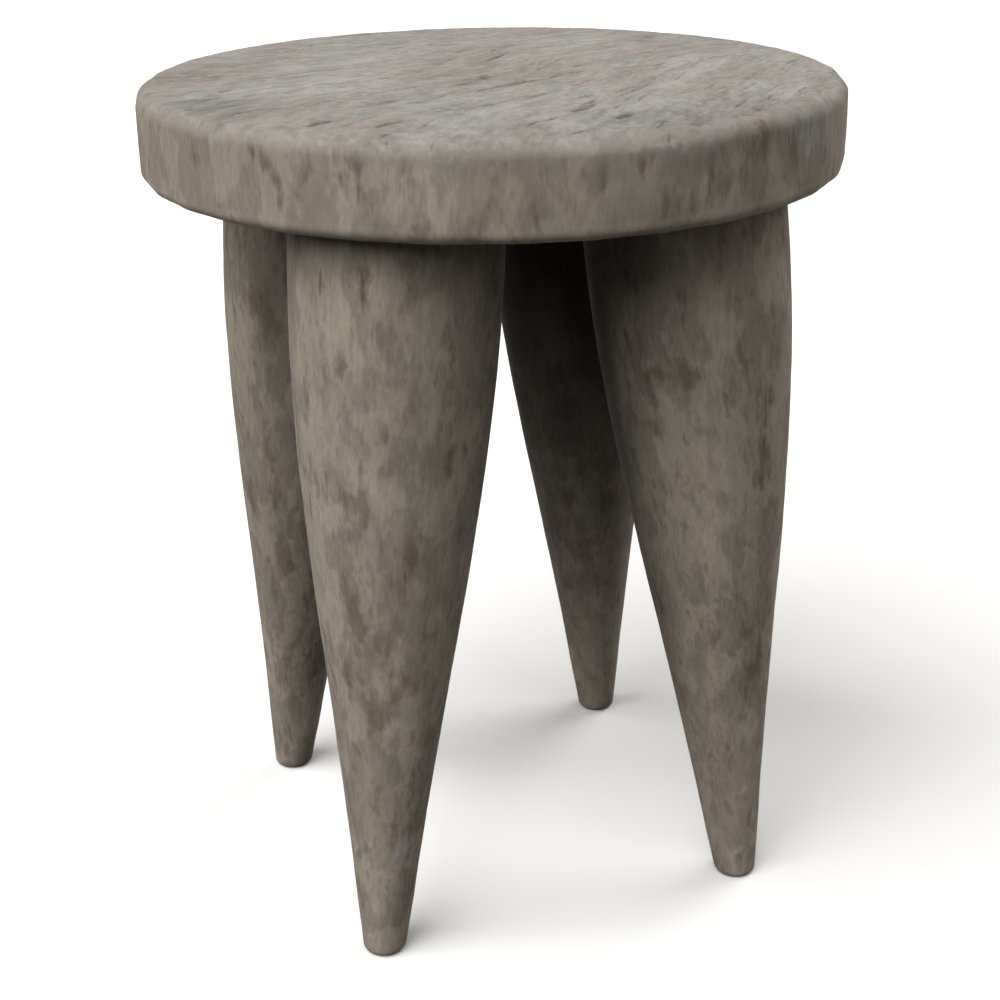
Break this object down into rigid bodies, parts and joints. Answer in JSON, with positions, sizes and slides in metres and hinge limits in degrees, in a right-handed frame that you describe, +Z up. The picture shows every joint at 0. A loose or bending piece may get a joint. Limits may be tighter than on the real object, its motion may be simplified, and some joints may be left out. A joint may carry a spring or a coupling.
{
  "type": "senufo stool",
  "caption": "Low stool carved from one block: a thick round seat with a worn edge, on stout leaning legs that taper down to small rounded feet.",
  "frame": {"origin": "on the floor under the middle of the seat", "axes": "+Z up along the stool's axis; the legs stand in the four quadrants between the X and Y axes"},
  "size_m": [0.3786, 0.3786, 0.462],
  "materials": {
    "weathered_wood": "bare weathered hardwood, silvery grey on the seat and grey-brown on rim and legs, dry and matt"
  },
  "bodies": {
    "root": {"stool": "weathered_wood"}
  },
  "joints": []
}
